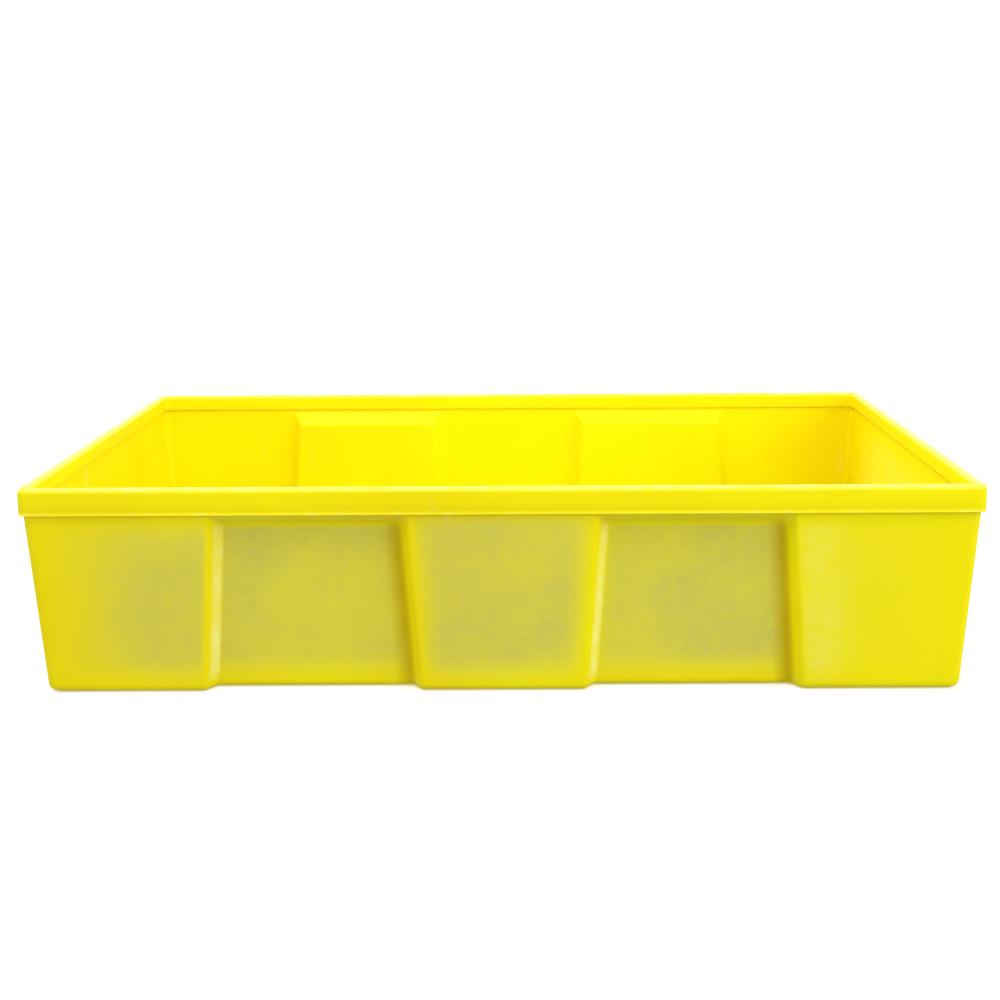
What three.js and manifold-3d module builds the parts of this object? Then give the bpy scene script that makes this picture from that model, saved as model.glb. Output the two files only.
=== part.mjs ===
// Spill containment pallet: a low rotomoulded polyethylene tray whose thick bead rim stands proud
// of drafted walls, with two recessed panels in each long wall, and a lift-out deck inside made of
// two slotted panels on push-fit legs that keep containers above the collected liquid.
// Millimetres, +Z up, origin at the middle of the underside, +X along the long side.

import * as THREE from 'three';
import { ConvexGeometry } from 'three/addons/geometries/ConvexGeometry.js';
import { mergeVertices } from 'three/addons/utils/BufferGeometryUtils.js';
import Module from 'manifold-3d';

const wasm = await Module();
wasm.setup();

// ---------------------------------------------------------------- driving dimensions

const LENGTH = 1300; // over the rim, along X
const WIDTH = 750; // over the rim, along Y
const HEIGHT = 295; // ground to rim top
const WALL = 7; // shell thickness
const FLOOR_TOP = 8; // inside face of the tray floor

const RIM_WIDTH = 15; // thickness of the bead rim seen from above
const RIM_PROUD = 4.5; // how far the rim stands out from the wall below it
const RIM_DROP_OUTSIDE = 37; // height of the rim's outer face
const RIM_DROP_INSIDE = 27; // height of the rim's inner face
const RIM_CORNER_RADIUS = 12; // plan radius of the rim's four corners
const RIM_OUTER_ROUND = 7; // rounding of the rim's top outer edge
const RIM_INNER_ROUND = 7; // rounding of the rim's top inner edge

const WALL_DRAFT = 10; // how far each wall leans in between rim and ground
const WALL_CORNER_RADIUS = 14; // plan radius of the wall's vertical corners
const BOTTOM_ROUND = 11; // rounding between walls and underside
const INNER_CORNER_RADIUS = 10; // plan radius of the inside vertical corners
const INNER_FLOOR_ROUND = 14; // rounding between inside walls and floor

const RECESS_DEPTH = 19; // how deep each recessed panel lies behind the wall
const RECESS_FACET = 14; // width of the slanted facet at each side of a recess
const RECESS_TOP_SLOPE = 17; // height of the sloping facet at the top of a recess
const RECESS_INNER_X_TOP = 128.5; // recess edge nearest the middle, at the rim
const RECESS_INNER_X_GROUND = 112.5; // the same edge at the ground
const RECESS_OUTER_X_TOP = 393.5; // recess edge furthest from the middle, at the rim
const RECESS_OUTER_X_GROUND = 416.5; // the same edge at the ground

const DECK_TOP = 78; // height of the surface that containers stand on
const DECK_THICKNESS = 30;
const DECK_SIDE_CLEARANCE = 6; // gap between deck and tray walls
const DECK_MIDDLE_GAP = 6; // gap between the two deck panels
const DECK_CORNER_RADIUS = 22;
const DECK_BORDER_X = 22; // solid border left and right of the slots
const DECK_BORDER_Y = 26; // solid border in front of and behind the slots
const SLOT_COLUMNS = 5;
const SLOT_ROWS = 15;
const SLOT_BAR_X = 18; // bar between the ends of two slots
const SLOT_WIDTH = 23;
const HAND_SLOT_LENGTH = 110; // the two wider slots that fingers lift the panel by
const HAND_SLOT_WIDTH = 34;
const HAND_SLOT_COLUMN = 2;
const HAND_SLOT_ROWS = [4, 10];

const LEG_COLUMNS = [0, 2, 4]; // slot columns that carry legs
const LEG_ROWS = [1, 7, 13]; // slot rows that are left solid over a leg
const LEG_BASE_RADIUS = 33;
const LEG_TOP_RADIUS = 27;
const LEG_WALL = 4.5;
const LEG_SPIGOT_RADIUS = 15;
const LEG_SPIGOT_HEIGHT = 14;
const LEG_SIDES = 12;

const FIT_GAP = 0.3; // running gap between neighbouring pieces
const ARC_STEPS = 5; // chords in a quarter circle in plan
const EDGE_STEPS = 3; // chords in a quarter circle along an edge

const YELLOW = 0xf2df0c;
const BLACK = 0x1c1d1e;

// ---------------------------------------------------------------- values that follow

const RIM_BOTTOM = HEIGHT - RIM_DROP_OUTSIDE;
const WALL_TOP_X = LENGTH / 2 - RIM_PROUD;
const WALL_TOP_Y = WIDTH / 2 - RIM_PROUD;
const MOUTH_BOTTOM = HEIGHT - RIM_DROP_INSIDE;
const DECK_BOTTOM = DECK_TOP - DECK_THICKNESS;

// How far the wall's outer face has leaned in at height z.
function draftAt(z) {
  return (WALL_DRAFT * (RIM_BOTTOM - z)) / RIM_BOTTOM;
}

const DECK_HALF_X = WALL_TOP_X - draftAt(DECK_TOP) - WALL - DECK_SIDE_CLEARANCE;
const DECK_HALF_Y = WALL_TOP_Y - draftAt(DECK_TOP) - WALL - RECESS_DEPTH - DECK_SIDE_CLEARANCE;
const PANEL_LENGTH = DECK_HALF_X - DECK_MIDDLE_GAP / 2;
const SLOT_PITCH_X = (PANEL_LENGTH - 2 * DECK_BORDER_X + SLOT_BAR_X) / SLOT_COLUMNS;
const SLOT_PITCH_Y = (2 * DECK_HALF_Y - 2 * DECK_BORDER_Y + SLOT_WIDTH / 2) / SLOT_ROWS;
const SLOT_LENGTH = SLOT_PITCH_X - SLOT_BAR_X;
const LEG_HEIGHT = DECK_BOTTOM - FLOOR_TOP - 2 * FIT_GAP;

// ---------------------------------------------------------------- solids

function toManifold(geometry) {
  const bare = geometry.clone();
  bare.deleteAttribute('normal');
  bare.deleteAttribute('uv');
  const merged = mergeVertices(bare, 1e-4);
  const mesh = new wasm.Mesh({
    numProp: 3,
    vertProperties: new Float32Array(merged.attributes.position.array),
    triVerts: new Uint32Array(merged.index.array),
  });
  return new wasm.Manifold(mesh);
}

function toGeometry(manifold) {
  const mesh = manifold.getMesh();
  const geometry = new THREE.BufferGeometry();
  geometry.setAttribute('position', new THREE.BufferAttribute(mesh.vertProperties, 3));
  geometry.setIndex(new THREE.BufferAttribute(mesh.triVerts, 1));
  return geometry;
}

// Points of a rounded rectangle lying at height z.
function roundedLoop(halfX, halfY, radius, z) {
  const points = [];
  const corners = [[1, 1], [-1, 1], [-1, -1], [1, -1]];
  corners.forEach(([sx, sy], corner) => {
    for (let step = 0; step <= ARC_STEPS; step += 1) {
      const angle = (corner + step / ARC_STEPS) * (Math.PI / 2);
      const x = sx * (halfX - radius) + radius * Math.cos(angle);
      const y = sy * (halfY - radius) + radius * Math.sin(angle);
      points.push(new THREE.Vector3(x, y, z));
    }
  });
  return points;
}

function hullOfLoops(loops) {
  return toManifold(new ConvexGeometry(loops.flat()));
}

// Quarter-circle steps from the horizontal face to the vertical one: inset from the vertical
// face, and distance from the horizontal face.
function edgeRound(radius) {
  const steps = [];
  for (let step = 0; step <= EDGE_STEPS; step += 1) {
    const angle = (step / EDGE_STEPS) * (Math.PI / 2);
    steps.push({ inset: radius * (1 - Math.sin(angle)), rise: radius * (1 - Math.cos(angle)) });
  }
  return steps;
}

// ---------------------------------------------------------------- tray

// One drafted block between two heights, rounded along its lower edge.
function draftedBlock({ offset, bottom, top, cornerRadius, bottomRound }) {
  const loops = edgeRound(bottomRound).map(({ inset, rise }) => {
    const z = bottom + rise;
    const lean = draftAt(z) + offset + inset;
    const radius = Math.max(cornerRadius - inset / 2, 2);
    return roundedLoop(WALL_TOP_X - lean, WALL_TOP_Y - lean, radius, z);
  });
  const lean = draftAt(top) + offset;
  loops.push(roundedLoop(WALL_TOP_X - lean, WALL_TOP_Y - lean, cornerRadius, top));
  return hullOfLoops(loops);
}

// Rim block: vertical faces, rounded along the top outer edge.
function rimBlock() {
  const halfX = LENGTH / 2;
  const halfY = WIDTH / 2;
  const loops = [roundedLoop(halfX, halfY, RIM_CORNER_RADIUS, RIM_BOTTOM)];
  edgeRound(RIM_OUTER_ROUND).forEach(({ inset, rise }) => {
    const radius = RIM_CORNER_RADIUS - inset / 2;
    loops.push(roundedLoop(halfX - inset, halfY - inset, radius, HEIGHT - rise));
  });
  return hullOfLoops(loops);
}

// The opening through the rim: a straight shaft, flared at its top by the rim's inner rounding.
function rimMouth() {
  const halfX = LENGTH / 2 - RIM_WIDTH;
  const halfY = WIDTH / 2 - RIM_WIDTH;
  const overshoot = 1;
  const loopAt = (inset, z) => {
    return roundedLoop(halfX + inset, halfY + inset, INNER_CORNER_RADIUS + inset, z);
  };
  let mouth = hullOfLoops([
    loopAt(0, MOUTH_BOTTOM - overshoot),
    loopAt(0, HEIGHT + overshoot),
  ]);
  const flare = edgeRound(RIM_INNER_ROUND);
  for (let step = 0; step < EDGE_STEPS; step += 1) {
    const upper = flare[step];
    const lower = flare[step + 1];
    mouth = mouth.add(hullOfLoops([
      loopAt(lower.inset, HEIGHT - lower.rise),
      loopAt(upper.inset, HEIGHT - upper.rise),
    ]));
  }
  const widest = flare[0];
  return mouth.add(hullOfLoops([
    loopAt(widest.inset, HEIGHT),
    loopAt(widest.inset, HEIGHT + overshoot),
  ]));
}

// One recessed panel as a solid to take away: a drafted wedge with slanted sides and a sloping
// top. side is +1 for the right half, face is +1 for the back wall. offset moves every face
// inwards, which gives the matching raised pad inside the tray.
function recessWedge(side, face, offset) {
  const points = [];
  const belowGround = -5; // the cut runs on past the underside
  const slantGrowth = offset * (Math.hypot(RECESS_FACET, RECESS_DEPTH) - RECESS_FACET) / RECESS_DEPTH;
  const levels = [
    { z: RIM_BOTTOM, deepZ: RIM_BOTTOM - RECESS_TOP_SLOPE },
    { z: belowGround, deepZ: belowGround },
  ];
  levels.forEach(({ z, deepZ }, level) => {
    const share = z / RIM_BOTTOM;
    const innerX = RECESS_INNER_X_GROUND + (RECESS_INNER_X_TOP - RECESS_INNER_X_GROUND) * share;
    const outerX = RECESS_OUTER_X_GROUND + (RECESS_OUTER_X_TOP - RECESS_OUTER_X_GROUND) * share;
    const lift = level === 0 ? slantGrowth : 0;
    [[0, z], [1, deepZ]].forEach(([depthShare, height]) => {
      const wallY = WALL_TOP_Y - draftAt(height);
      const y = wallY - depthShare * RECESS_DEPTH - offset;
      const trim = depthShare * RECESS_FACET - slantGrowth;
      points.push(new THREE.Vector3(side * (innerX + trim), face * y, height + lift));
      points.push(new THREE.Vector3(side * (outerX - trim), face * y, height + lift));
    });
    // The same slanted faces carried out past the wall, by as much as the recess is deep.
    const outZ = z + (z - deepZ);
    const outY = WALL_TOP_Y - draftAt(z) + RECESS_DEPTH - offset;
    const spread = RECESS_FACET + slantGrowth;
    points.push(new THREE.Vector3(side * (innerX - spread), face * outY, outZ + lift));
    points.push(new THREE.Vector3(side * (outerX + spread), face * outY, outZ + lift));
  });
  return toManifold(new ConvexGeometry(points));
}

function allRecesses(offset) {
  const wedges = [];
  for (const side of [-1, 1]) {
    for (const face of [-1, 1]) {
      wedges.push(recessWedge(side, face, offset));
    }
  }
  return wedges;
}

function sumpTray() {
  let walls = draftedBlock({
    offset: 0,
    bottom: 0,
    top: RIM_BOTTOM,
    cornerRadius: WALL_CORNER_RADIUS,
    bottomRound: BOTTOM_ROUND,
  });
  allRecesses(0).forEach((wedge) => {
    walls = walls.subtract(wedge);
  });
  let inside = draftedBlock({
    offset: WALL,
    bottom: FLOOR_TOP,
    top: MOUTH_BOTTOM,
    cornerRadius: INNER_CORNER_RADIUS,
    bottomRound: INNER_FLOOR_ROUND,
  });
  allRecesses(WALL).forEach((wedge) => {
    inside = inside.subtract(wedge);
  });
  return toGeometry(walls.add(rimBlock()).subtract(inside).subtract(rimMouth()));
}

// ---------------------------------------------------------------- deck panels

function roundedOutline(halfX, halfY, radius) {
  const shape = new THREE.Shape();
  roundedLoop(halfX, halfY, radius, 0).forEach((point, index) => {
    if (index === 0) shape.moveTo(point.x, point.y);
    else shape.lineTo(point.x, point.y);
  });
  shape.closePath();
  return shape;
}

// Middle of a slot, measured from the middle of its panel.
function slotCentre(column, row) {
  return {
    x: (column - (SLOT_COLUMNS - 1) / 2) * SLOT_PITCH_X,
    y: (row - (SLOT_ROWS - 1) / 2) * SLOT_PITCH_Y,
  };
}

function legCentres() {
  return LEG_COLUMNS.flatMap((column) => LEG_ROWS.map((row) => slotCentre(column, row)));
}

// The panel stays solid over a leg, and a hand slot takes the place of a drain slot.
function slotIsOpen(column, row) {
  const overLeg = LEG_COLUMNS.includes(column) && LEG_ROWS.includes(row);
  const isHandSlot = column === HAND_SLOT_COLUMN && HAND_SLOT_ROWS.includes(row);
  return !overLeg && !isHandSlot;
}

// A block that cuts a rectangular hole right through the panel.
function slotCutter(column, row, length, width) {
  const { x, y } = slotCentre(column, row);
  const block = new THREE.BoxGeometry(length, width, 2 * DECK_THICKNESS);
  block.translate(x, y, DECK_THICKNESS / 2);
  return toManifold(block);
}

function deckPanel() {
  const outline = roundedOutline(PANEL_LENGTH / 2, DECK_HALF_Y, DECK_CORNER_RADIUS);
  const plate = new THREE.ExtrudeGeometry(outline, { depth: DECK_THICKNESS, bevelEnabled: false });
  let panel = toManifold(plate);
  for (let column = 0; column < SLOT_COLUMNS; column += 1) {
    for (let row = 0; row < SLOT_ROWS; row += 1) {
      if (slotIsOpen(column, row)) {
        panel = panel.subtract(slotCutter(column, row, SLOT_LENGTH, SLOT_WIDTH));
      }
    }
  }
  for (const row of HAND_SLOT_ROWS) {
    const cutter = slotCutter(HAND_SLOT_COLUMN, row, HAND_SLOT_LENGTH, HAND_SLOT_WIDTH);
    panel = panel.subtract(cutter);
  }
  const socketDepth = LEG_SPIGOT_HEIGHT + FIT_GAP;
  const socketRadius = LEG_SPIGOT_RADIUS + FIT_GAP;
  const below = 1;
  legCentres().forEach(({ x, y }) => {
    const depth = socketDepth + below;
    const cutter = new THREE.CylinderGeometry(socketRadius, socketRadius, depth, LEG_SIDES);
    cutter.rotateX(Math.PI / 2);
    cutter.translate(x, y, depth / 2 - below);
    panel = panel.subtract(toManifold(cutter));
  });
  return toGeometry(panel);
}

// ---------------------------------------------------------------- legs

// A tapered cup, open at the bottom, with a spigot on top that pushes into the panel's socket.
function deckLeg() {
  const spigotTop = LEG_HEIGHT + LEG_SPIGOT_HEIGHT;
  const profile = [
    [0, LEG_HEIGHT - LEG_WALL],
    [LEG_TOP_RADIUS - LEG_WALL, LEG_HEIGHT - LEG_WALL],
    [LEG_BASE_RADIUS - LEG_WALL, 0],
    [LEG_BASE_RADIUS, 0],
    [LEG_TOP_RADIUS, LEG_HEIGHT],
    [LEG_SPIGOT_RADIUS, LEG_HEIGHT],
    [LEG_SPIGOT_RADIUS, spigotTop],
    [0, spigotTop],
  ].map(([radius, height]) => new THREE.Vector2(radius, height));
  const geometry = new THREE.LatheGeometry(profile, LEG_SIDES);
  geometry.rotateX(Math.PI / 2);
  return toGeometry(toManifold(geometry));
}

// ---------------------------------------------------------------- assembly

function plastic(color, roughness) {
  return new THREE.MeshStandardMaterial({ color, roughness, metalness: 0 });
}

function named(name, geometry, material) {
  const mesh = new THREE.Mesh(geometry, material);
  mesh.name = name;
  return mesh;
}

function deckSection(label, side) {
  const section = new THREE.Group();
  section.position.set(side * (DECK_MIDDLE_GAP / 2 + PANEL_LENGTH / 2), 0, 0);
  const panel = named(`deck_panel_${label}`, deckPanel(), plastic(YELLOW, 0.5));
  panel.position.z = DECK_BOTTOM;
  section.add(panel);
  legCentres().forEach(({ x, y }, index) => {
    const leg = named(`deck_leg_${label}_${index + 1}`, deckLeg(), plastic(BLACK, 0.6));
    leg.position.set(x, y, FLOOR_TOP + FIT_GAP);
    section.add(leg);
  });
  return section;
}

const pallet = new THREE.Group();
pallet.add(named('sump_tray', sumpTray(), plastic(YELLOW, 0.45)));
pallet.add(deckSection('left', -1));
pallet.add(deckSection('right', 1));

export default pallet;
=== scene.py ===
"""Looks of the spill containment pallet: a yellow rotomoulded polyethylene tray with a thick bead
rim and recessed wall panels, and a lift-out slotted deck on push-fit legs. Metres, +Z up."""

import math

import bmesh
import bpy
from mathutils import Matrix, Vector
from mathutils.geometry import delaunay_2d_cdt


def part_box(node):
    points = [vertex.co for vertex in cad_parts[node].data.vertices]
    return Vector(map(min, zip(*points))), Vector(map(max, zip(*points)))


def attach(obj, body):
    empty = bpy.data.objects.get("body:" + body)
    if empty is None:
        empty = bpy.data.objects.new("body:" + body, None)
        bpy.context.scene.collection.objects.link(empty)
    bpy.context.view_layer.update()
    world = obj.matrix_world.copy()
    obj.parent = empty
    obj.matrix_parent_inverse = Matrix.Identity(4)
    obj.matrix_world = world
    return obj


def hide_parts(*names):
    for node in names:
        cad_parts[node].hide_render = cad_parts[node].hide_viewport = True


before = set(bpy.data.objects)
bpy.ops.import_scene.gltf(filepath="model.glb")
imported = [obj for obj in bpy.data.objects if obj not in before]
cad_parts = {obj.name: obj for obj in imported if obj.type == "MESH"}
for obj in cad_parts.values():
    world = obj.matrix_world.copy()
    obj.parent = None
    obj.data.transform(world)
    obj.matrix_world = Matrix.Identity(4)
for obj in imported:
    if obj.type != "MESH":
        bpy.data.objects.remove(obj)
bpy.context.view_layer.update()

MM = 0.001

# ---------------------------------------------------------------- sizes, millimetres

tray_low, tray_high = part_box("sump_tray")
HALF_X = tray_high.x / MM
HALF_Y = tray_high.y / MM
HEIGHT = tray_high.z / MM

WALL = 7.0  # shell thickness
FLOOR_TOP = 8.0  # height of the tray's floor inside
RIM_WIDTH = 15.0  # thickness of the rim seen from above
RIM_PROUD = 4.5  # how far the rim stands out from the wall below it
RIM_BOTTOM = HEIGHT - 37.0  # lower edge of the rim's outer face
MOUTH_BOTTOM = HEIGHT - 27.0  # lower edge of the rim's inner face
RIM_CORNER_RADIUS = 12.0  # in plan
RIM_TOP_ROUND = 6.8  # rounding of the rim's two top edges
RIM_LOWER_ROUND = 3.0  # rounding of the lower edge of its inner face
RIM_TUCK = 1.2  # rounding of the corner between the wall and the rim's underside
RIM_CROWN = 0.8  # how far the rim's outer face leans in towards its top
FLASH_HEIGHT = 1.0  # the mould's parting line, a thin ridge along the rim's lower edge
FLASH_PROUD = 0.35
WALL_CORNER_RADIUS = 14.0  # in plan, outside
INNER_CORNER_RADIUS = 10.0  # in plan, inside
WALL_DRAFT = 10.0  # how far each wall leans in between rim and ground
BOTTOM_ROUND = 11.0  # rounding between walls and underside
INNER_FLOOR_ROUND = 14.0  # rounding between inside walls and floor
FLAT_MARGIN = 2.0  # from the deepest part of the recesses to the edge of the flat floor

RECESS_DEPTH = 19.0
RECESS_FACET = 14.0  # width of the slanted facet at each side of a recess
RECESS_TOP_SLOPE = 17.0  # height of the sloping facet at the top of a recess
RECESS_INNER_X = (112.5, 128.5)  # edge nearest the middle, at the ground and at the rim
RECESS_OUTER_X = (416.5, 393.5)  # edge furthest from the middle, at the ground and at the rim
PAD_GROWTH = 3.5  # how much wider each raised pad inside is than its recess outside
RECESS_BLEND = 4.5  # softness of the recess edges, as a depth
SLOPE_FOOT = RIM_BOTTOM - RECESS_TOP_SLOPE - 8.0  # just below the foot of the top slope

FLASH_WEAR = 0.12  # how worn the parting line is
INNER_EDGE_FLECKS = 0.1  # how pale, in flecks, the lower edge of the rim's inner face is
TOP_WEAR = 0.12  # how worn the crest of the rim is
TOP_HIGHLIGHT = 0.7  # painted highlight: how pale the crest of the rim is
FACE_SHADE = 0.22  # painted shade: how much darker the lower part of the rim's outer face is
FLOOR_SHADE = 0.5  # painted shade: how much darker the floor and the underside are
FLOOR_EDGE_SHADE = 0.4  # painted shade: how much darker the rounding around the floor is

DECK_EDGE_ROUND = 2.2  # rounding of the deck's top edges
DECK_LOWER_ROUND = 1.2  # rounding of its lower edges
DECK_EDGE_WEAR = 0.3  # how worn its top edges are
DECK_CORNER_RADIUS = 22.0
SLOT_COLUMNS = 5
SLOT_ROWS = 15
SLOT_BORDER_X = 22.0  # solid border left and right of the slots
SLOT_BORDER_Y = 26.0  # solid border in front of and behind the slots
SLOT_BAR_X = 18.0  # bar between the ends of two slots
SLOT_WIDTH = 23.0
SLOT_END_RADIUS = 9.0
HAND_SLOT_LENGTH = 110.0  # the two wider slots that fingers lift the panel by
HAND_SLOT_WIDTH = 34.0
HAND_SLOT_COLUMN = 2
HAND_SLOT_ROWS = (4, 10)
LEG_COLUMNS = (0, 2, 4)  # slot columns and rows that are left solid over a leg
LEG_ROWS = (1, 7, 13)
LEGS_PER_PANEL = len(LEG_COLUMNS) * len(LEG_ROWS)
LEG_WALL = 4.5
LEG_TOP_RADIUS = 27.0
LEG_STEPS = 48  # sides of a leg's rings
SPIGOT_RADIUS = 15.0
SPIGOT_HEIGHT = 14.0
SOCKET_STEPS = 24  # sides of a socket's rings
FIT_GAP = 0.3  # running gap between a spigot and its socket

WALL_TOP_X = HALF_X - RIM_PROUD
WALL_TOP_Y = HALF_Y - RIM_PROUD


def draft_at(z):
    """How far the wall's outer face has leaned in at height z."""
    return WALL_DRAFT * (RIM_BOTTOM - z) / RIM_BOTTOM


def between(pair, share):
    return pair[0] + (pair[1] - pair[0]) * share


def smooth(value, low, high):
    """0 below low, 1 above high, and a soft step between them."""
    share = max(min((value - low) / (high - low), 1.0), 0.0)
    return share * share * (3.0 - 2.0 * share)


def plateau(value, low, high, fade):
    """1 between low and high, falling to 0 within the given distance inside both ends."""
    return smooth(value, low, low + fade) * (1.0 - smooth(value, high - fade, high))


def heights(low, high, count):
    """Evenly spaced heights from low to high, both of them included."""
    return [low + (high - low) * step / count for step in range(count + 1)]


def arc(radius, steps, start, stop):
    """Points of a circle's arc as (across, up) offsets from its centre, angles in degrees."""
    for step in range(steps + 1):
        angle = math.radians(start + (stop - start) * step / steps)
        yield radius * math.cos(angle), radius * math.sin(angle)


# ---------------------------------------------------------------- mesh helpers


def mesh_object(name, bm, smooth_shaded=True):
    mesh = bpy.data.meshes.new(name)
    bm.to_mesh(mesh)
    bm.free()
    obj = bpy.data.objects.new(name, mesh)
    bpy.context.scene.collection.objects.link(obj)
    mesh.polygons.foreach_set("use_smooth", [smooth_shaded] * len(mesh.polygons))
    return obj


def keep_flats_flat(obj):
    """Weights the normals by face area, so that flat faces shade flat beside rounded edges."""
    modifier = obj.modifiers.new("weighted_normals", "WEIGHTED_NORMAL")
    modifier.weight = 100
    modifier.keep_sharp = True


class Loops:
    """Closed loops of points with the same number of points, skinned one to the next. Each vertex
    carries shares from 0 to 1 that the materials read: a dull haze of painted shade, pale marks
    that are painted highlights and some scuffs, wear, and painted shade."""

    NAMES = ("haze", "chalk", "wear", "shade")

    def __init__(self):
        self.bm = bmesh.new()
        layers = self.bm.verts.layers.float
        for name in self.NAMES:
            layers.new(name)
        self.layers = {name: layers[name] for name in self.NAMES}

    def ring(self, points, **shares):
        """Adds one loop. A share is a number, or a function of the point in metres."""
        verts = [self.bm.verts.new(point) for point in points]
        for name, share in shares.items():
            for vert in verts:
                vert[self.layers[name]] = share(vert.co) if callable(share) else share
        return verts

    def skin(self, rings):
        for lower, upper in zip(rings, rings[1:]):
            count = len(lower)
            for index in range(count):
                after = (index + 1) % count
                corners = (lower[index], lower[after], upper[after], upper[index])
                self.bm.faces.new(corners)

    def sheet(self, outline, holes):
        """Fills the flat area between an outline and the holes in it with triangles."""
        verts = outline + [vert for hole in holes for vert in hole]
        edges = []
        owner = []
        for number, loop in enumerate([outline] + holes):
            first = len(owner)
            count = len(loop)
            edges += [(first + i, first + (i + 1) % count) for i in range(count)]
            owner += [number] * count
        flat = [vert.co.xy for vert in verts]
        inside_only = 1  # the output type that keeps the triangles within the outline
        nearness = 1e-9
        triangles = delaunay_2d_cdt(flat, edges, [], inside_only, nearness)[2]
        for triangle in triangles:
            owners = {owner[index] for index in triangle}
            inside_hole = len(owners) == 1 and 0 not in owners
            if not inside_hole:
                self.bm.faces.new([verts[index] for index in triangle])

    def finish(self, name):
        bmesh.ops.recalc_face_normals(self.bm, faces=self.bm.faces)
        return mesh_object(name, self.bm)


# ---------------------------------------------------------------- tray shell


def soft_min(a, b, width):
    """The smaller of two numbers, rounded off where they differ by less than width."""
    blend = max(width - abs(a - b), 0.0) / width
    return min(a, b) - blend * blend * width / 4.0


def soft_max(a, b, width):
    return -soft_min(-a, -b, width)


def recess_edges(z, growth):
    """Where the recess starts and ends along a long side, at height z."""
    share = max(min(z / RIM_BOTTOM, 1.0), 0.0)
    return between(RECESS_INNER_X, share) - growth, between(RECESS_OUTER_X, share) + growth


def recess_depth(x, z, growth):
    """How far the wall is pushed in at x along a long side and height z. growth widens it."""
    near, far = recess_edges(z, growth)
    slope = RECESS_DEPTH / RECESS_FACET
    sides = min((abs(x) - near) * slope, (far - abs(x)) * slope)
    top = (RIM_BOTTOM + growth - z) * RECESS_DEPTH / RECESS_TOP_SLOPE
    inside = soft_min(sides, top, RECESS_BLEND)
    capped = soft_min(inside, RECESS_DEPTH, RECESS_BLEND)
    return soft_max(capped, 0.0, RECESS_BLEND)


def side_stations(z, end, growth):
    """Places along the right half of a long side, from the middle to the corner: close together
    across the slanted facets, far apart on the flats, and following the facets' lean."""
    near, far = recess_edges(z, growth)
    margin = 8.0  # how far the close spacing goes past each side of a facet
    reach = RECESS_FACET + 2 * margin
    spans = [  # start, stop, number of steps
        (0.0, near - margin, 8),
        (near - margin, near - margin + reach, 20),
        (near - margin + reach, far + margin - reach, 16),
        (far + margin - reach, far + margin, 20),
        (far + margin, end, 14),
    ]
    places = [0.0]
    for start, stop, count in spans:
        for step in range(1, count + 1):
            places.append(start + (stop - start) * step / count)
    return places


CORNER_STEPS = 8  # steps round each corner in plan
SHORT_SIDE_STEPS = 40  # steps along each short side
EDGE_STEPS = 7  # steps of the rounding between the walls and the floor or the underside


def shell_ring(half_x, half_y, radius, z, growth=None, scale=1.0):
    """One closed loop of points around the tray at height z. growth is None where the walls have
    no recess. scale shrinks the loop towards the middle, for the flat floor and underside."""
    end_x = half_x - radius
    end_y = half_y - radius
    half = side_stations(z, end_x, growth or 0.0)
    along_x = [-x for x in reversed(half)] + half[1:]
    points = []

    def face_y(x):
        return half_y - (recess_depth(x, z, growth) if growth is not None else 0.0)

    def corner(sx, sy, start):
        for step in range(1, CORNER_STEPS):
            angle = start + step / CORNER_STEPS * math.pi / 2
            cx = sx * end_x + radius * math.cos(angle)
            cy = sy * end_y + radius * math.sin(angle)
            points.append((cx, cy))

    for x in along_x:
        points.append((x, -face_y(x)))
    corner(1, -1, -math.pi / 2)
    for step in range(SHORT_SIDE_STEPS + 1):
        points.append((half_x, -end_y + 2 * end_y * step / SHORT_SIDE_STEPS))
    corner(1, 1, 0.0)
    for x in reversed(along_x):
        points.append((x, face_y(x)))
    corner(-1, 1, math.pi / 2)
    for step in range(SHORT_SIDE_STEPS + 1):
        points.append((-half_x, end_y - 2 * end_y * step / SHORT_SIDE_STEPS))
    corner(-1, -1, math.pi)
    return [Vector((x * scale, y * scale, z)) * MM for x, y in points]


def wall_ring(z, inset, radius, growth):
    lean = draft_at(z) + inset
    return shell_ring(WALL_TOP_X - lean, WALL_TOP_Y - lean, radius, z, growth)


def rim_ring(z, inset, radius):
    return shell_ring(HALF_X - inset, HALF_Y - inset, radius, z)


def on_long_side(point):
    return abs(point.y) / MM > WALL_TOP_Y - WALL_DRAFT - RECESS_DEPTH - FLAT_MARGIN


# Strengths of the painted shade (a dull haze), the painted highlights, pale patches and scuffs,
# and the painted shade in corners and along the foot, on the walls, from 0 to 1
SHORT_SIDE_HAZE = 0.7
END_HAZE = 0.9  # on the flats between the recesses and the corners
FRONT_RIGHT_HAZE = 0.12  # how much of that is left on the flat at the front right
# paler mottled patches beside the facet at the front right
FRONT_RIGHT_PALENESS = 0.3
HEAD_HIGHLIGHT = 0.2  # painted highlight at the head of each recess, lifting the shade under the rim
INSIDE_CHALK = 0.25
# painted shade along the foot
FOOT_SHADE = 0.5
BACK_CORNER_SHADE = 0.5  # painted shade in the recess corners at the back, against 1 at the front


def below_rim(z, start, stop):
    """1 further below the rim than start, and 0 nearer to it than stop."""
    return 1.0 - smooth(z, RIM_BOTTOM - start, RIM_BOTTOM - stop)


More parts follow.
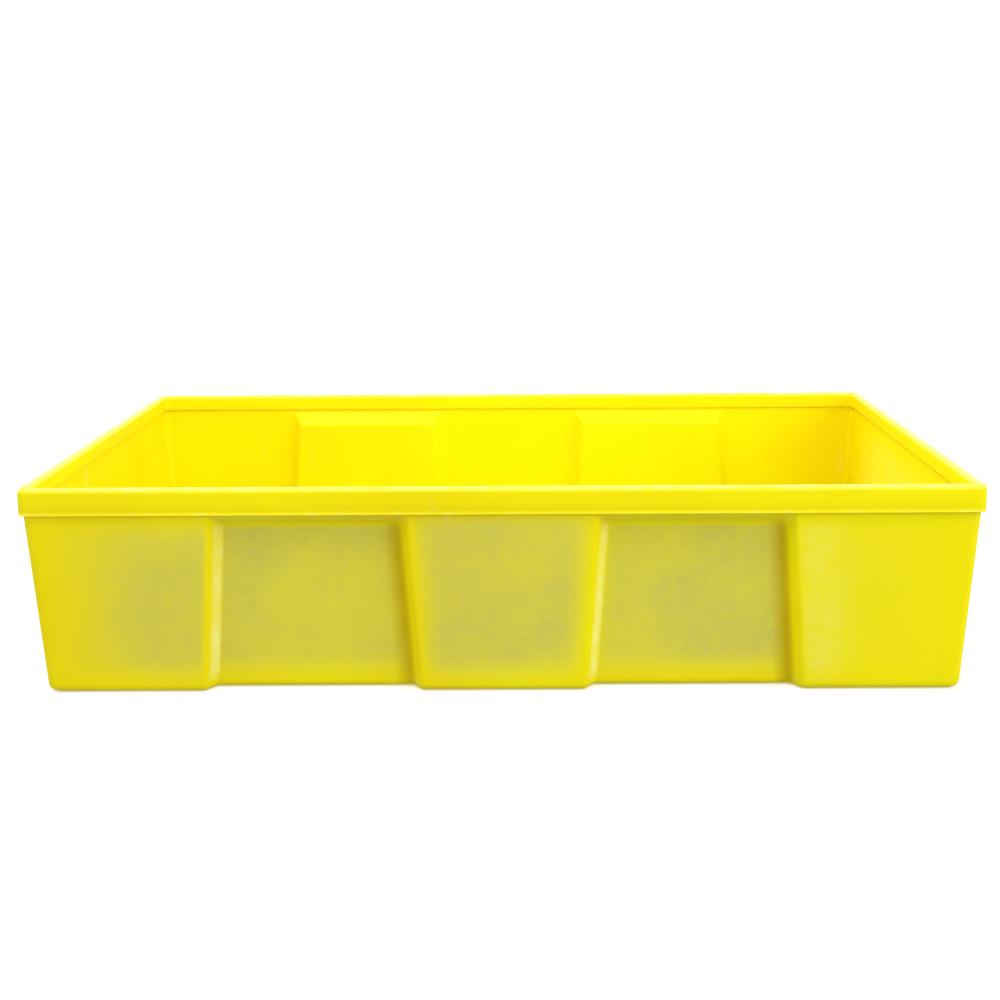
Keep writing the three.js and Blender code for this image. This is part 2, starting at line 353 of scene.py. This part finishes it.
def outside_haze_shade(point):
    """Painted shade on the outer walls: a dull, greyish haze over the middle of each flat panel,
    least of all on the panel at the front right."""
    x, z = point.x / MM, point.z / MM
    foot = smooth(z, 10.0, 58.0)
    if not on_long_side(point):
        sides = 1.0 - smooth(abs(point.y) / MM, HALF_Y - 110.0, HALF_Y - 30.0)
        return SHORT_SIDE_HAZE * foot * sides * below_rim(z, 34.0, 6.0)
    near, far = recess_edges(z, 0.0)
    reach = abs(x)
    middle = below_rim(z, 24.0, -6.0) * (1.0 - smooth(reach, near - 36.0, near + 1.0))
    recess = plateau(reach, near + RECESS_FACET, far - RECESS_FACET + 2.0, 12.0)
    recess *= below_rim(z, 26.0, 17.0)
    end = below_rim(z, 40.0, 0.0) * smooth(reach, far - 2.0, far + 10.0)
    end *= 1.0 - smooth(reach, far + 70.0, HALF_X - 14.0)
    if x > 0.0 and point.y < 0.0:
        end *= FRONT_RIGHT_HAZE
    return foot * max(middle, recess, END_HAZE * end)


def outside_chalk(point):
    """Painted highlights on the recess facets that face +X and at the head of each recess, and
    paler patches beside the facet at the front right."""
    if not on_long_side(point):
        return 0.0
    z = point.z / MM
    near, far = recess_edges(z, 0.0)
    start, stop = (near, near + RECESS_FACET) if point.x > 0.0 else (far - RECESS_FACET, far)
    reach = abs(point.x) / MM
    along = reach if point.x > 0.0 else start + stop - reach
    pale = plateau(along, start + 4.0, stop + 5.0, 4.5)
    if point.x > 0.0 and point.y < 0.0:
        beside = smooth(reach, far, far + 14.0) * (1.0 - smooth(reach, far + 20.0, far + 90.0))
        pale = max(pale, FRONT_RIGHT_PALENESS * beside * smooth(z, 8.0, 40.0))
    pale *= below_rim(z, 30.0, 8.0)
    head = (1.0 - below_rim(z, 16.0, 8.0)) * plateau(reach, near, far, 8.0)
    return max(pale, HEAD_HIGHLIGHT * head)


def inside_chalk(point):
    """Faint scuffs inside on the short wall at the right."""
    if point.x / MM < WALL_TOP_X - WALL - WALL_DRAFT - FLAT_MARGIN:
        return 0.0
    along = plateau(point.y / MM, -HALF_Y + 60.0, HALF_Y - 60.0, 150.0)
    return INSIDE_CHALK * along * plateau(point.z / MM, 120.0, MOUTH_BOTTOM - 8.0, 45.0)


def outside_shade(point):
    """Painted shade on the outer walls: along the foot and in the recess corners whose facet
    faces
    -X."""
    z = point.z / MM
    foot = FOOT_SHADE * (1.0 - smooth(z, 0.5, 7.0))
    corner = 0.0
    if on_long_side(point):
        near, far = recess_edges(z, 0.0)
        reach = abs(point.x) / MM
        if point.x > 0.0:
            inward = far - RECESS_FACET - reach
        else:
            inward = reach - near - RECESS_FACET
        corner = smooth(inward, -8.0, 1.0) * (1.0 - smooth(inward, 3.0, 26.0))
        corner *= 1.0 if point.y < 0.0 else BACK_CORNER_SHADE
        corner *= below_rim(z, 30.0, 8.0)
    return max(foot, corner)


def outer_rings(shell):
    """Loops from the underside up the outside of the walls to the rim."""
    rings = []
    base = draft_at(0.0) + BOTTOM_ROUND
    flat_x = WALL_TOP_X - base
    flat_y = WALL_TOP_Y - base
    for scale in (0.2, 0.6, 0.9):
        points = shell_ring(flat_x, flat_y, WALL_CORNER_RADIUS, 0.0, None, scale)
        rings.append(shell.ring(points, shade=FLOOR_SHADE))
    foot = shell_ring(flat_x, flat_y - RECESS_DEPTH - FLAT_MARGIN, WALL_CORNER_RADIUS, 0.0)
    rings.append(shell.ring(foot, shade=FLOOR_SHADE))
    for across, up in arc(BOTTOM_ROUND, EDGE_STEPS, -90, 0):
        z = BOTTOM_ROUND + up
        points = wall_ring(z, BOTTOM_ROUND - across, WALL_CORNER_RADIUS, 0.0)
        rings.append(shell.ring(points, shade=outside_shade))
    top = RIM_BOTTOM - 2.0  # leaves room for the rounding under the rim
    levels = heights(BOTTOM_ROUND, SLOPE_FOOT, 16)[1:]
    levels += heights(SLOPE_FOOT, top, 18)[1:]
    shares = {"haze": outside_haze_shade, "shade": outside_shade, "chalk": outside_chalk}
    for z in levels:
        points = wall_ring(z, 0.0, WALL_CORNER_RADIUS, 0.0)
        rings.append(shell.ring(points, **shares))
    return rings


def rim_profile():
    """The bead rim's outline from the wall outside, over its top, to the wall inside, as
    (inset, z, wear)."""
    for across, up in arc(RIM_TUCK, 2, 180, 90):
        yield RIM_PROUD - RIM_TUCK - across, RIM_BOTTOM - RIM_TUCK + up, 0.0
    half_flash = FLASH_HEIGHT / 2
    for across, up in arc(half_flash, 4, -90, 90):
        inset = FLASH_PROUD - across * FLASH_PROUD / half_flash
        yield inset, RIM_BOTTOM + half_flash + up, FLASH_WEAR
    face_bottom = RIM_BOTTOM + FLASH_HEIGHT
    face_top = HEIGHT - RIM_TOP_ROUND
    for z in heights(face_bottom, face_top, 6)[1:-1]:
        share = (z - face_bottom) / (face_top - face_bottom)
        yield FLASH_PROUD + RIM_CROWN * share * share, z, 0.0
    face = FLASH_PROUD + RIM_CROWN
    for across, up in arc(RIM_TOP_ROUND, 8, 0, 90):
        yield face + RIM_TOP_ROUND - across, face_top + up, up / RIM_TOP_ROUND * TOP_WEAR
    for across, up in arc(RIM_TOP_ROUND, 8, 90, 180):
        yield RIM_WIDTH - RIM_TOP_ROUND - across, face_top + up, up / RIM_TOP_ROUND * TOP_WEAR
    lower_centre = MOUTH_BOTTOM + RIM_LOWER_ROUND
    unworn = 1.2  # above the rounded edge, where its wear has faded out
    yield RIM_WIDTH, lower_centre + unworn, 0.0
    for across, up in arc(RIM_LOWER_ROUND, 4, 180, 270):
        yield RIM_WIDTH - RIM_LOWER_ROUND - across, lower_centre + up, INNER_EDGE_FLECKS


def rim_rings(shell):
    """Loops round the rim: a painted highlight on its crest, and painted shade low on its outer
    face.
    """
    rings = []
    for inset, z, wear in rim_profile():
        radius = RIM_CORNER_RADIUS - inset / 2
        shade = FACE_SHADE * (1.0 - smooth(z, RIM_BOTTOM + 2.0, RIM_BOTTOM + 20.0))
        if inset > RIM_WIDTH / 2:
            radius = INNER_CORNER_RADIUS + RIM_WIDTH - inset
            shade = 0.0
        shares = {
            "wear": wear,
            "shade": shade,
            "chalk": TOP_HIGHLIGHT * smooth(z, HEIGHT - RIM_TOP_ROUND, HEIGHT),
        }
        rings.append(shell.ring(rim_ring(z, inset, radius), **shares))
    return rings


def inner_rings(shell):
    """Loops down the inside of the walls to the middle of the floor."""
    rings = []
    top = MOUTH_BOTTOM - 0.6  # just below the rounded lower edge of the rim's inner face
    levels = heights(FLOOR_TOP + INNER_FLOOR_ROUND, SLOPE_FOOT, 14)
    levels += heights(SLOPE_FOOT, top, 20)[1:]
    for z in reversed(levels):
        points = wall_ring(z, WALL, INNER_CORNER_RADIUS, PAD_GROWTH)
        rings.append(shell.ring(points, chalk=inside_chalk))
    for across, up in list(arc(INNER_FLOOR_ROUND, EDGE_STEPS, 0, -90))[1:]:
        z = FLOOR_TOP + INNER_FLOOR_ROUND + up
        inset = WALL + INNER_FLOOR_ROUND - across
        points = wall_ring(z, inset, INNER_CORNER_RADIUS, PAD_GROWTH)
        rings.append(shell.ring(points, shade=FLOOR_EDGE_SHADE))
    base = draft_at(FLOOR_TOP) + WALL + INNER_FLOOR_ROUND
    flat_x = WALL_TOP_X - base
    flat_y = WALL_TOP_Y - base
    foot_y = flat_y - RECESS_DEPTH - FLAT_MARGIN
    foot = shell_ring(flat_x, foot_y, INNER_CORNER_RADIUS, FLOOR_TOP)
    rings.append(shell.ring(foot, shade=FLOOR_SHADE))
    for scale in (0.9, 0.6, 0.2):
        points = shell_ring(flat_x, flat_y, INNER_CORNER_RADIUS, FLOOR_TOP, None, scale)
        rings.append(shell.ring(points, shade=FLOOR_SHADE))
    return rings


def make_tray():
    """One closed skin from the middle of the underside, over the rim, to the middle of the
    floor inside."""
    shell = Loops()
    rings = outer_rings(shell) + rim_rings(shell) + inner_rings(shell)
    shell.skin(rings)
    shell.bm.faces.new(list(reversed(rings[0])))
    shell.bm.faces.new(rings[-1])
    return shell.finish("tray_shell")


# ---------------------------------------------------------------- deck


def rounded_loop(centre, half_x, half_y, radius, z, steps):
    points = []
    for corner, (sx, sy) in enumerate(((1, 1), (-1, 1), (-1, -1), (1, -1))):
        for across, up in arc(radius, steps, corner * 90, corner * 90 + 90):
            x = centre[0] + sx * (half_x - radius) + across
            y = centre[1] + sy * (half_y - radius) + up
            points.append(Vector((x, y, z)) * MM)
    return points


def circle_loop(centre, radius, z, steps):
    points = []
    for step in range(steps):
        angle = 2 * math.pi * step / steps
        x = centre[0] + radius * math.cos(angle)
        y = centre[1] + radius * math.sin(angle)
        points.append(Vector((x, y, z)) * MM)
    return points


def edge_profile(low, high):
    """How a deck edge recedes with height, from the underside to the top: (recede, z, wear)."""
    for across, up in arc(DECK_LOWER_ROUND, 2, -90, 0):
        yield DECK_LOWER_ROUND - across, low + DECK_LOWER_ROUND + up, 0.0
    for across, up in arc(DECK_EDGE_ROUND, 4, 0, 90):
        yield DECK_EDGE_ROUND - across, high - DECK_EDGE_ROUND + up, DECK_EDGE_WEAR


def slot_holes(half_x, half_y):
    """The slots' middles, measured from the panel's middle, and their half sizes."""
    pitch_x = (2 * half_x - 2 * SLOT_BORDER_X + SLOT_BAR_X) / SLOT_COLUMNS
    pitch_y = (2 * half_y - 2 * SLOT_BORDER_Y + SLOT_WIDTH / 2) / SLOT_ROWS
    for column in range(SLOT_COLUMNS):
        for row in range(SLOT_ROWS):
            x = (column - (SLOT_COLUMNS - 1) / 2) * pitch_x
            y = (row - (SLOT_ROWS - 1) / 2) * pitch_y
            if column == HAND_SLOT_COLUMN and row in HAND_SLOT_ROWS:
                yield x, y, HAND_SLOT_LENGTH / 2, HAND_SLOT_WIDTH / 2
            elif column not in LEG_COLUMNS or row not in LEG_ROWS:
                yield x, y, (pitch_x - SLOT_BAR_X) / 2, SLOT_WIDTH / 2


def leg_box(label, number):
    low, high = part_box(f"deck_leg_{label}_{number}")
    return low / MM, high / MM


def leg_middles(label):
    """The legs' middles in plan, read from the frame."""
    for number in range(1, LEGS_PER_PANEL + 1):
        low, high = leg_box(label, number)
        yield (low.x + high.x) / 2, (low.y + high.y) / 2


def make_deck_panel(label):
    """One slotted panel, open at its slots, with a blind socket in its underside for each leg."""
    low, high = (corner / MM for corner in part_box(f"deck_panel_{label}"))
    centre = (low + high) / 2
    half = (high - low) / 2
    plate = Loops()
    slots = list(slot_holes(half.x, half.y))
    outline = []
    holes = [[] for _ in slots]
    for recede, z, wear in edge_profile(low.z, high.z):
        radius = DECK_CORNER_RADIUS - recede
        points = rounded_loop(centre, half.x - recede, half.y - recede, radius, z, 8)
        outline.append(plate.ring(points, wear=wear))
        for hole, (x, y, half_length, half_width) in zip(holes, slots):
            middle = (centre.x + x, centre.y + y)
            size = (half_length + recede, half_width + recede, SLOT_END_RADIUS + recede)
            hole.append(plate.ring(rounded_loop(middle, *size, z, 4), wear=wear))
    plate.skin(outline)
    for hole in holes:
        plate.skin(hole)
    sockets = []
    radius = SPIGOT_RADIUS + FIT_GAP
    roof = low.z + SPIGOT_HEIGHT + FIT_GAP
    for middle in leg_middles(label):
        mouth = plate.ring(circle_loop(middle, radius, low.z, SOCKET_STEPS))
        end = plate.ring(circle_loop(middle, radius, roof, SOCKET_STEPS))
        plate.skin([mouth, end])
        plate.bm.faces.new(end)
        sockets.append(mouth)
    plate.sheet(outline[0], [hole[0] for hole in holes] + sockets)
    plate.sheet(outline[-1], [hole[-1] for hole in holes])
    panel = plate.finish(f"deck_plate_{label}")
    keep_flats_flat(panel)
    return panel


def leg_profile(base_radius, low, high):
    """The leg's outline from the middle of its hollow, round its foot and up to the spigot's
    top, as (radius, z)."""
    shoulder = high - SPIGOT_HEIGHT
    roof = shoulder - LEG_WALL
    hub = 1.0  # radius of the small flat caps that close the outline at its two ends
    roof_round = 3.0
    foot_round = 1.5
    shoulder_round = 0.8
    spigot_round = 2.0
    slope = (base_radius - LEG_TOP_RADIUS) / (shoulder - low)
    yield hub, roof
    for across, up in arc(roof_round, 4, 90, 0):
        yield LEG_TOP_RADIUS - LEG_WALL - roof_round + across, roof - roof_round + up
    inside = base_radius - LEG_WALL
    for across, up in arc(foot_round, 4, 180, 270):
        yield inside + foot_round + across, low + foot_round + up
    for across, up in arc(foot_round, 4, 270, 360):
        yield base_radius - foot_round + across, low + foot_round + up
    groove = shoulder - 6.0  # height of the fine step that marks the bearing collar
    groove_radius = base_radius - slope * (groove - low)
    yield groove_radius - 0.6, groove
    yield groove_radius - 0.1, groove + 0.6
    for across, up in arc(shoulder_round, 3, 0, 90):
        yield LEG_TOP_RADIUS - shoulder_round + across, shoulder - shoulder_round + up
    yield SPIGOT_RADIUS + shoulder_round, shoulder
    yield SPIGOT_RADIUS, shoulder + shoulder_round
    for across, up in arc(spigot_round, 3, 0, 90):
        yield SPIGOT_RADIUS - spigot_round + across, high - spigot_round + up
    yield hub, high


def make_leg(label, number):
    low, high = leg_box(label, number)
    centre = ((low.x + high.x) / 2, (low.y + high.y) / 2)
    base_radius = (high.x - low.x) / 2
    cup = Loops()
    profile = leg_profile(base_radius, low.z, high.z)
    rings = [cup.ring(circle_loop(centre, radius, z, LEG_STEPS)) for radius, z in profile]
    cup.skin(rings)
    cup.bm.faces.new(rings[0])
    cup.bm.faces.new(rings[-1])
    leg = cup.finish(f"leg_cup_{label}_{number}")
    keep_flats_flat(leg)
    return leg


# ---------------------------------------------------------------- materials


class Plastic:
    """One moulded plastic: a Principled shader and short calls that add nodes in front of it."""

    def __init__(self, name):
        self.material = bpy.data.materials.new(name)
        self.material.use_nodes = True
        self.nodes = self.material.node_tree.nodes
        self.links = self.material.node_tree.links
        self.nodes.clear()
        output = self.nodes.new("ShaderNodeOutputMaterial")
        self.shader = self.nodes.new("ShaderNodeBsdfPrincipled")
        self.links.new(self.shader.outputs["BSDF"], output.inputs["Surface"])
        self.place = self.nodes.new("ShaderNodeTexCoord").outputs["Object"]

    def put(self, socket, value):
        """Links a socket, or sets a plain value on one."""
        if isinstance(value, bpy.types.NodeSocket):
            self.links.new(value, socket)
        else:
            socket.default_value = value

    def noise(self, scale, detail=3.0, roughness=0.5, stretch=(1.0, 1.0, 1.0), seed=0.0):
        mapping = self.nodes.new("ShaderNodeMapping")
        self.put(mapping.inputs["Vector"], self.place)
        self.put(mapping.inputs["Scale"], stretch)
        self.put(mapping.inputs["Location"], (seed, seed * 0.7, seed * 1.3))
        node = self.nodes.new("ShaderNodeTexNoise")
        self.put(node.inputs["Vector"], mapping.outputs["Vector"])
        self.put(node.inputs["Scale"], scale)
        self.put(node.inputs["Detail"], detail)
        self.put(node.inputs["Roughness"], roughness)
        return node.outputs["Fac"]

    def share(self, name):
        """One of the shares that the mesh's vertices carry."""
        node = self.nodes.new("ShaderNodeAttribute")
        node.attribute_name = name
        return node.outputs["Fac"]

    def step(self, value, low, high, bottom=0.0, top=1.0):
        """A soft step from bottom to top as the value goes from low to high."""
        node = self.nodes.new("ShaderNodeMapRange")
        node.interpolation_type = "SMOOTHSTEP"
        self.put(node.inputs["Value"], value)
        self.put(node.inputs["From Min"], low)
        self.put(node.inputs["From Max"], high)
        self.put(node.inputs["To Min"], bottom)
        self.put(node.inputs["To Max"], top)
        return node.outputs["Result"]

    def math(self, operation, first, second):
        node = self.nodes.new("ShaderNodeMath")
        node.operation = operation
        self.put(node.inputs[0], first)
        self.put(node.inputs[1], second)
        return node.outputs["Value"]

    def mix(self, factor, first, second):
        node = self.nodes.new("ShaderNodeMixRGB")
        self.put(node.inputs["Fac"], factor)
        self.put(node.inputs["Color1"], first)
        self.put(node.inputs["Color2"], second)
        return node.outputs["Color"]

    def bump(self, height, depth, strength, before=None):
        node = self.nodes.new("ShaderNodeBump")
        self.put(node.inputs["Height"], height)
        self.put(node.inputs["Distance"], depth)
        self.put(node.inputs["Strength"], strength)
        if before is not None:
            self.put(node.inputs["Normal"], before)
        return node.outputs["Normal"]

    def finish(self, colour, roughness, normal, specular):
        self.put(self.shader.inputs["Base Color"], colour)
        self.put(self.shader.inputs["Roughness"], roughness)
        self.put(self.shader.inputs["Normal"], normal)
        self.put(self.shader.inputs["Specular IOR Level"], specular)
        return self.material


LEMON = (0.87, 0.775, 0.0, 1.0)
DEEP_YELLOW = (0.84, 0.70, 0.0, 1.0)
# painted shade: the dull, greyish tone that dims the middle of the wall panels
HAZE_SHADE = (0.585, 0.555, 0.09, 1.0)
# pale yellow of the painted highlights, and of the faint scuffs inside
SCUFF_AND_HIGHLIGHT = (0.90, 0.87, 0.28, 1.0)
PALE_WEAR = (0.97, 0.93, 0.46, 1.0)
# painted shade: the dark orange that the shade share mixes in
PAINTED_SHADE_COLOUR = (0.56, 0.42, 0.0, 1.0)
BLACK = (0.014, 0.015, 0.016, 1.0)
DUST = (0.055, 0.055, 0.05, 1.0)


def yellow_polyethylene(name):
    """Rotomoulded yellow polyethylene: slow drifts of tone, painted shade as a dull greyish haze
    where the mesh carries haze, painted highlights and pale scuffs, painted shade in hollows and
    underneath, fine mottling, pale nicks on worn edges, and a faint orange-peel surface."""
    plastic = Plastic(name)
    drift = plastic.noise(2.4, 2.0)
    mottle = plastic.noise(70.0, 5.0, 0.65, seed=3.0)
    cloud = plastic.noise(13.0, 4.0, 0.6, seed=7.0)
    colour = plastic.mix(plastic.step(drift, 0.35, 0.65), DEEP_YELLOW, LEMON)

    patchy = plastic.step(cloud, 0.2, 0.75, 0.74, 1.0)
    grain = plastic.step(mottle, 0.3, 0.7, 0.82, 1.0)
    # painted shade: a patchy dull haze where the mesh carries haze; it also adds a little
    # roughness
    veil = plastic.step(plastic.noise(5.5, 2.0, seed=19.0), 0.36, 0.6, 0.72, 1.0)
    dull_haze = plastic.math("MULTIPLY", plastic.share("haze"), veil)
    dull_haze = plastic.math("MULTIPLY", dull_haze, patchy)
    dull_haze = plastic.math("MULTIPLY", dull_haze, grain)
    colour = plastic.mix(dull_haze, colour, HAZE_SHADE)
    # painted highlights on the rim crest, the +X recess facets and the recess heads, and pale
    # scuffs inside
    pale_patches = plastic.step(cloud, 0.35, 0.65, 0.5, 1.0)
    chalk = plastic.math("MULTIPLY", plastic.share("chalk"), pale_patches)
    chalk = plastic.math("MULTIPLY", chalk, plastic.step(mottle, 0.35, 0.65, 0.4, 0.95))
    colour = plastic.mix(chalk, colour, SCUFF_AND_HIGHLIGHT)

    # painted shade, mottled, where the mesh carries shade
    shade_mottle = plastic.step(cloud, 0.2, 0.8, 0.7, 1.0)
    painted_shade = plastic.math("MULTIPLY", plastic.share("shade"), shade_mottle)
    colour = plastic.mix(painted_shade, colour, PAINTED_SHADE_COLOUR)

    streaks = plastic.noise(26.0, 3.0, 0.6, (1.0, 1.0, 0.22), seed=11.0)
    colour = plastic.mix(plastic.step(streaks, 0.68, 0.8, 0.0, 0.16), colour, PALE_WEAR)

    spots = plastic.step(plastic.noise(34.0, 4.0, 0.7, seed=17.0), 0.5, 0.62, 0.16, 1.0)
    nicks = plastic.math("MULTIPLY", plastic.share("wear"), spots)
    colour = plastic.mix(nicks, colour, PALE_WEAR)

    roughness = plastic.step(mottle, 0.3, 0.7, 0.38, 0.48)
    roughness = plastic.math("ADD", roughness, plastic.math("MULTIPLY", dull_haze, 0.12))
    waves = plastic.bump(plastic.noise(7.0, 1.0, seed=5.0), 0.004, 0.35)
    peel = plastic.bump(plastic.noise(190.0, 2.0, seed=9.0), 0.0005, 0.25, waves)
    fine = plastic.bump(plastic.noise(900.0, 2.0, seed=13.0), 0.0002, 0.2, peel)
    return plastic.finish(colour, roughness, fine, 0.1)


def black_polyethylene(name):
    """Black moulded polyethylene: nearly even, with dusty patches and a fine grained surface."""
    plastic = Plastic(name)
    dust = plastic.step(plastic.noise(18.0, 5.0, 0.6, seed=2.0), 0.4, 0.75, 0.0, 0.5)
    colour = plastic.mix(dust, BLACK, DUST)
    roughness = plastic.step(plastic.noise(60.0, 3.0, seed=4.0), 0.3, 0.7, 0.42, 0.58)
    normal = plastic.bump(plastic.noise(1100.0, 2.0, seed=6.0), 0.0002, 0.35)
    return plastic.finish(colour, roughness, normal, 0.4)


# ---------------------------------------------------------------- build


def dress(piece, material, body, node):
    piece.data.materials.append(material)
    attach(piece, body)
    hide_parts(node)


yellow = yellow_polyethylene("yellow_polyethylene")
black = black_polyethylene("black_polyethylene")

dress(make_tray(), yellow, "tray", "sump_tray")
for side in ("left", "right"):
    body = f"deck_{side}"
    dress(make_deck_panel(side), yellow, body, f"deck_panel_{side}")
    for index in range(1, LEGS_PER_PANEL + 1):
        dress(make_leg(side, index), black, body, f"deck_leg_{side}_{index}")


# ---------------------------------------------------------------- floor, light and camera

WHITE = (1.0, 1.0, 1.0, 1.0)
PAPER = (0.80, 0.80, 0.80, 1.0)
PAPER_GLOW = 0.32  # light of the floor's own, so that it stays white beside the tray
FLOOR_HALF = 30.0
FLOOR_DROP = 0.0005  # gap between the floor and the tray's underside
ROOM_ABOVE = 0.95  # strength of the room's light from above
ROOM_BELOW = 0.55  # strength of the room's light from below
ROOM_SEEN = 1.1  # strength of the white that the camera sees past the object
ROOM_BLEND = 0.35  # rise of a direction at which the light from above is at full strength


def make_floor():
    """A wide sheet of white paper that takes the tray's shadow but lights nothing."""
    bm = bmesh.new()
    half = FLOOR_HALF
    corners = [(-half, -half), (half, -half), (half, half), (-half, half)]
    bm.faces.new([bm.verts.new((x, y, -FLOOR_DROP)) for x, y in corners])
    floor = mesh_object("studio_floor", bm, smooth_shaded=False)
    paper = Plastic("studio_floor")
    paper.put(paper.shader.inputs["Base Color"], PAPER)
    paper.put(paper.shader.inputs["Roughness"], 0.9)
    paper.put(paper.shader.inputs["Specular IOR Level"], 0.0)
    paper.put(paper.shader.inputs["Emission Color"], WHITE)
    paper.put(paper.shader.inputs["Emission Strength"], PAPER_GLOW)
    floor.data.materials.append(paper.material)
    floor.visible_diffuse = False
    floor.visible_glossy = False


def area_light(name, place, target, size, power):
    data = bpy.data.lights.new(name, "AREA")
    data.shape = "RECTANGLE"
    data.size, data.size_y = size
    data.energy = power
    light = bpy.data.objects.new(name, data)
    light.location = place
    light.rotation_euler = (Vector(target) - Vector(place)).to_track_quat("-Z", "Y").to_euler()
    light.visible_camera = False
    bpy.context.scene.collection.objects.link(light)


def make_world():
    """Even light from a pale room, stronger from above than from below. Where the camera looks
    past the object, plain white."""
    world = bpy.data.worlds.new("studio")
    world.use_nodes = True
    nodes = world.node_tree.nodes
    links = world.node_tree.links
    background = nodes["Background"]
    background.inputs["Color"].default_value = WHITE
    direction = nodes.new("ShaderNodeSeparateXYZ")
    links.new(nodes.new("ShaderNodeTexCoord").outputs["Generated"], direction.inputs["Vector"])
    rise = nodes.new("ShaderNodeMapRange")
    rise.interpolation_type = "SMOOTHSTEP"
    rise.inputs["From Min"].default_value = -ROOM_BLEND
    rise.inputs["From Max"].default_value = ROOM_BLEND
    rise.inputs["To Min"].default_value = ROOM_BELOW
    rise.inputs["To Max"].default_value = ROOM_ABOVE
    links.new(direction.outputs["Z"], rise.inputs["Value"])
    seen = nodes.new("ShaderNodeMapRange")
    seen.inputs["To Max"].default_value = ROOM_SEEN
    links.new(nodes.new("ShaderNodeLightPath").outputs["Is Camera Ray"], seen.inputs["Value"])
    links.new(rise.outputs["Result"], seen.inputs["To Min"])
    links.new(seen.outputs["Result"], background.inputs["Strength"])
    bpy.context.scene.world = world


def make_lights():
    area_light("key_right", (3.0, -1.8, 1.7), (0.0, -0.2, 0.15), (2.4, 1.8), 50.0)
    area_light("front_top", (-0.3, -0.9, 2.4), (0.1, 0.1, 0.1), (1.6, 1.0), 23.0)
    area_light("overhead_left", (-0.9, 0.7, 2.5), (0.1, 0.0, 0.1), (2.0, 1.6), 20.0)
    area_light("fill_left", (-3.0, -1.5, 0.6), (0.0, -0.3, 0.1), (2.0, 1.0), 10.0)
    area_light("behind", (0.3, 4.0, 1.4), (0.0, 0.0, 0.3), (5.0, 2.0), 45.0)


def make_camera():
    """Camera in front of the long side, a little right of the middle and slightly above."""
    data = bpy.data.cameras.new("view")
    camera = bpy.data.objects.new("view", data)
    data.sensor_width = 36.0
    data.lens = 49.32
    data.shift_x = -0.024
    data.clip_end = 100.0
    pitch = math.radians(14.05)
    yaw = math.radians(0.18)
    roll = math.radians(0.31)
    aside = 0.0355  # right of the middle
    distance = 1.7695  # in front of the rim
    rise = 0.4258  # above the rim
    camera.location = (aside, -HALF_Y * MM - distance, HEIGHT * MM + rise)
    camera.rotation_mode = "ZYX"
    turn = Matrix.Rotation(yaw, 3, "Z") @ Matrix.Rotation(math.pi / 2 - pitch, 3, "X")
    turn = turn @ Matrix.Rotation(-roll, 3, "Z")
    camera.rotation_euler = turn.to_euler("ZYX")
    bpy.context.scene.collection.objects.link(camera)
    bpy.context.scene.camera = camera


make_floor()
make_world()
make_lights()
make_camera()
bpy.context.scene.view_settings.view_transform = "Standard"
